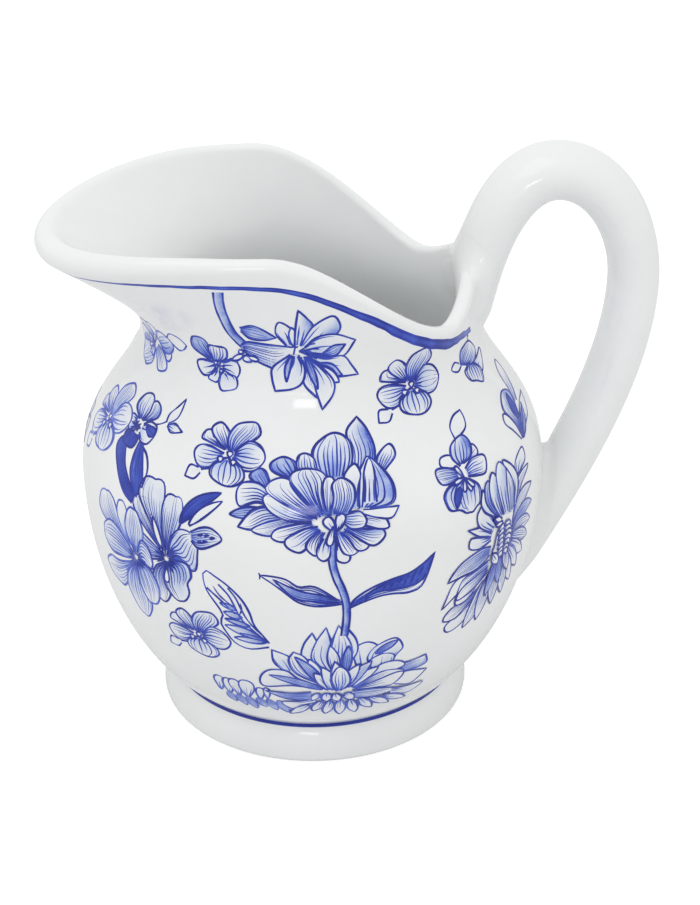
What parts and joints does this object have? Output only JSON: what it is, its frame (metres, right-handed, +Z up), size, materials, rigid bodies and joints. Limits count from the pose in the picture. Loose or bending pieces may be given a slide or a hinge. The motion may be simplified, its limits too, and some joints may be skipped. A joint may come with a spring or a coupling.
{
  "type": "porcelain jug",
  "caption": "Glazed porcelain jug with a round belly on a foot ring, a broad flared pouring lip, a dipped rim and a looped strap handle.",
  "frame": {"origin": "centre of the bounding box, in the plane of the table that the foot ring rests on", "axes": "+Z up, +X towards the handle, -X towards the pouring lip; the jug is mirror-symmetric about Y = 0"},
  "size_m": [0.1684, 0.1296, 0.1637],
  "materials": {
    "glazed_porcelain": "clear gloss glaze over white porcelain, cobalt blue flowers",
    "luting_slip": "fired porcelain slip under clear glaze"
  },
  "bodies": {
    "root": {"body_shell": "glazed_porcelain", "foot_ring": "glazed_porcelain", "handle": "glazed_porcelain", "upper_slip_joint": "luting_slip", "lower_slip_joint": "luting_slip"}
  },
  "joints": []
}
